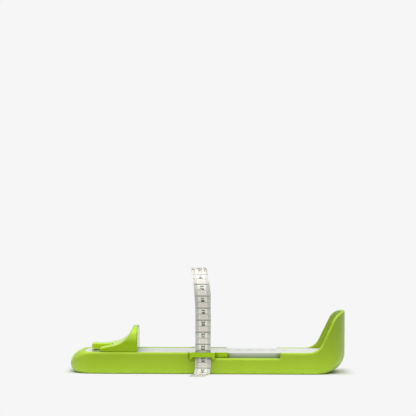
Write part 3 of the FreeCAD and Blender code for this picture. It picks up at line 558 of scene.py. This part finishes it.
def add_tape_print(line):
    """Numbered centimetres, millimetres along both edges and pale red rows, on both faces."""
    side = TAPE_WIDTH / 2 * PRINT_SHARE
    black, red = Print(), Print()
    start = line.near_leg(LINE_HEIGHT)
    shift = start % CENTIMETRE
    count = int((line.length - shift) / CENTIMETRE)
    for face in (1, -1):
        lift = face * (TAPE_THICKNESS / 2 + PRINT_LIFT)
        for number in range(count + 1):
            mark = shift + number * CENTIMETRE

            def place(along, up, mark=mark):
                return line.place(mark - along, up * face, lift)

            if mark < PRINT_MARGINS[0] or mark > line.length - PRINT_MARGINS[1]:
                continue
            black.bar((-FULL_LINE, FULL_LINE), (-side, side), place)
            for tick in range(1, 10):
                thick = FIVE_LINE if tick == 5 else MM_LINE
                along = tick * MM - thick, tick * MM + thick
                if mark - along[1] < FIRST_TICK:
                    continue
                if tick == 5:
                    black.bar(along, (-side, side), place)
                else:
                    black.bar(along, (-side, -side + EDGE_LINE), place)
                    black.bar(along, (side - EDGE_LINE, side), place)
            value = count - number
            if value and mark > FIRST_DIGIT:
                points, faces = numeral(str(value), DIGIT_HEIGHT, DIGIT_BOLD)
                black.add([(u + DIGIT_PLACE, v) for u, v in points], faces, place)
                for row in range(RED_ROWS):
                    along = RED_START + row * RED_STEP
                    red.bar((along, along + RED_LINE), (-RED_REACH, RED_REACH), place)
    return [piece("tape_print_black", black.vertices, black.faces, BLACK_INK, "carriage"),
            piece("tape_print_red", red.vertices, red.faces, RED_INK, "carriage")]


def add_measuring_tape():
    line = TapeLine()
    strip = add_tape(line)
    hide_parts("measuring_tape")
    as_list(add_tape_print(line))


# ---- deck print: plain scales and a plain outline of a foot
def foot_outline(steps=96):
    """Closed outline of a sole, as (from the heel, across), for a length of one."""
    outline = []
    for step in range(steps):
        turn = 2 * math.pi * step / steps
        along = 0.5 - 0.5 * math.cos(turn)
        wave = math.cos(2 * math.pi * WAIST_TURNS * (along - WAIST_FROM))
        half = SOLE_HEEL + SOLE_TOES * along + SOLE_WAIST * wave
        side = math.copysign(abs(math.sin(turn)) ** SOLE_BLUNT, math.sin(turn))
        outline.append((along, half * side + SOLE_BEND * along * along))
    return outline


def add_deck_print():
    """Foot lengths in numbers, a chequered bar, a millimetre rule and the outline of a sole."""
    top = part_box("measuring_deck")[1].z + PRINT_ON_DECK
    heel_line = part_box("base_tray")[1].x - CUP_WALL
    sheet = Print()

    def at(length, y):
        return lambda along, up: Vector((heel_line - length * MM + along, y + up, top))

    for length in range(FOOT_SHORT, FOOT_LONG + 1, SIZE_STEP):
        points, faces = numeral(str(length), SIZE_DIGITS)
        sheet.add(points, faces, at(length, SIZE_PLACE))
        sheet.bar((-SIZE_LINE, SIZE_LINE), (0, SIZE_LINE_LENGTH), at(length, SIZE_LINE_PLACE))
    for length in range(BAR_FROM, BAR_TO, 10):
        field = at(length, BAR_PLACE)
        sheet.bar((-BAR_FIELD, 0), (0, BAR_HEIGHT), field)
        sheet.bar((0, BAR_FIELD), (0, BAR_EDGE), field)
        sheet.bar((0, BAR_FIELD), (BAR_HEIGHT - BAR_EDGE, BAR_HEIGHT), field)
    for length in range(FOOT_SHORT, RULE_LAST + 1):
        reach = RULE_TENS if length % 10 == 0 else RULE_FIVES if length % 5 == 0 else RULE_ONES
        sheet.bar((-RULE_LINE, RULE_LINE), (0, reach), at(length, RULE_PLACE))
        if length % 10 == 0:
            points, faces = numeral(str(length // 10), DIGIT_HEIGHT)
            sheet.add(points, faces, at(length, RULE_DIGIT_PLACE))
    outline = [Vector((-along, across)) * SOLE_LENGTH for along, across in foot_outline()]
    for a, b in zip(outline, outline[1:] + outline[:1]):
        beside = (b - a).orthogonal().normalized() * DECK_INK / 2
        corners = [tuple(corner) for corner in (a - beside, b - beside, b + beside, a + beside)]
        sheet.add(corners, [(0, 1, 2, 3)], at(SOLE_SETBACK, 0))
    return piece("deck_print", sheet.vertices, sheet.faces, GREY_INK, "base")


# ---- camera
def add_camera():
    data = bpy.data.cameras.new("camera")
    data.sensor_width = SENSOR_MM
    data.lens = FOCAL_PIXELS * SENSOR_MM / FRAME_PIXELS
    data.clip_start, data.clip_end = 0.1, 100
    camera = bpy.data.objects.new("camera", data)
    camera.location = (CAMERA_X, CAMERA_Y, CAMERA_Z)
    camera.rotation_euler = (math.radians(90), math.radians(CAMERA_ROLL), 0)
    bpy.context.scene.collection.objects.link(camera)
    bpy.context.scene.camera = camera


# ---- studio
def add_floor():
    """A pale floor that meets the background; it gives its light back mainly near the object."""
    mesh = bpy.data.meshes.new("floor")
    reach = FLOOR_REACH
    corners = [(-reach, -reach, 0), (reach, -reach, 0), (reach, reach, 0), (-reach, reach, 0)]
    mesh.from_pydata(corners, [], [(0, 1, 2, 3)])
    made, tree, principled = shader("floor", Roughness=1.0, Specular_IOR_Level=0.0)
    rays = node(tree, "ShaderNodeLightPath").outputs
    seen = math_node(tree, "MAXIMUM", rays["Is Camera Ray"], rays["Is Glossy Ray"])
    where = node(tree, "ShaderNodeTexCoord").outputs["Object"]
    split = node(tree, "ShaderNodeSeparateXYZ")
    tree.links.new(where, split.inputs["Vector"])
    tray_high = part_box("base_tray")[1]
    outside = []
    for axis, limit in (("X", tray_high.x), ("Y", tray_high.y)):
        distance = math_node(tree, "SUBTRACT", math_node(tree, "ABSOLUTE", split.outputs[axis], 0), limit)
        outside.append(math_node(tree, "MAXIMUM", distance, 0))
    squares = [math_node(tree, "MULTIPLY", distance, distance) for distance in outside]
    away = math_node(tree, "SQRT", math_node(tree, "ADD", *squares), 0)
    albedo = between(tree, away, FLOOR_NEAR_ALBEDO, FLOOR_FAR_ALBEDO, *FLOOR_BRIGHT)
    kept = math_node(tree, "MULTIPLY", between(tree, outside[1], 1.0, SHADE_OUTSIDE, 0.0, SHADE_FADE),
                     between(tree, outside[0], 1.0, 0.0, 0.0, SHADE_REACH))
    diffuse = node(tree, "ShaderNodeMix", {"data_type": "FLOAT"}, A=0.0, B=FLOOR_ALBEDO)
    tree.links.new(seen, diffuse.inputs["Factor"])
    tree.links.new(albedo, diffuse.inputs["A"])
    tree.links.new(diffuse.outputs["Result"], principled.inputs["Base Color"])
    glow = node(tree, "ShaderNodeEmission", Color=grey(BACKDROP))
    mix = node(tree, "ShaderNodeMixShader")
    share = math_node(tree, "MULTIPLY", seen, math_node(tree, "SUBTRACT", 1.0, kept))
    tree.links.new(share, mix.inputs[0])
    tree.links.new(principled.outputs[0], mix.inputs[1])
    tree.links.new(glow.outputs[0], mix.inputs[2])
    tree.links.new(mix.outputs[0], tree.nodes["Material Output"].inputs["Surface"])
    mesh.materials.append(made)
    floor = bpy.data.objects.new("floor", mesh)
    bpy.context.scene.collection.objects.link(floor)


def add_world():
    """Soft light from above and behind; the camera itself sees an even backdrop."""
    world = bpy.data.worlds.new("studio")
    world.use_nodes = True
    tree = world.node_tree
    background = tree.nodes["Background"]
    direction = node(tree, "ShaderNodeTexCoord").outputs["Generated"]
    split = node(tree, "ShaderNodeSeparateXYZ")
    tree.links.new(direction, split.inputs["Vector"])
    height = split.outputs["Z"]

    def mixed(factor, low, high):
        made = node(tree, "ShaderNodeMix", {"data_type": "FLOAT"})
        for socket, value in (("Factor", factor), ("A", low), ("B", high)):
            if isinstance(value, float):
                made.inputs[socket].default_value = value
            else:
                tree.links.new(value, made.inputs[socket])
        return made.outputs["Result"]

    rise = between(tree, height, 0, 1, 0.0, OVERHEAD_EDGE[0])
    low_rise = between(tree, height, 0, 1, *LOW_SKY)
    behind = between(tree, split.outputs["Y"], 0, 1, *BEHIND)
    front_sky = mixed(rise, FRONT_HORIZON, FRONT_MIDDLE)
    back_sky = mixed(low_rise, BACK_HORIZON, BACK_MIDDLE)
    sky = mixed(behind, front_sky, back_sky)
    tilt = math.radians(OVERHEAD_TILT)
    axis = [math_node(tree, "MULTIPLY", height, math.cos(tilt)),
            math_node(tree, "MULTIPLY", split.outputs["Y"], -math.sin(tilt))]
    overhead = math_node(tree, "ADD", *axis)
    sky = mixed(between(tree, overhead, 0, 1, *OVERHEAD_EDGE), sky, OVERHEAD)
    light = mixed(between(tree, height, 0, 1, *HORIZON), BELOW_HORIZON, sky)
    shown = node(tree, "ShaderNodeMix", {"data_type": "FLOAT"}, B=BACKDROP)
    tree.links.new(node(tree, "ShaderNodeLightPath").outputs["Is Camera Ray"], shown.inputs["Factor"])
    tree.links.new(light, shown.inputs["A"])
    tree.links.new(shown.outputs["Result"], background.inputs["Color"])
    bpy.context.scene.world = world
    bpy.context.scene.view_settings.view_transform = "Standard"
    bpy.context.scene.view_settings.look = "None"


add_camera()
add_floor()
add_world()
add_measuring_tape()
add_deck_print()
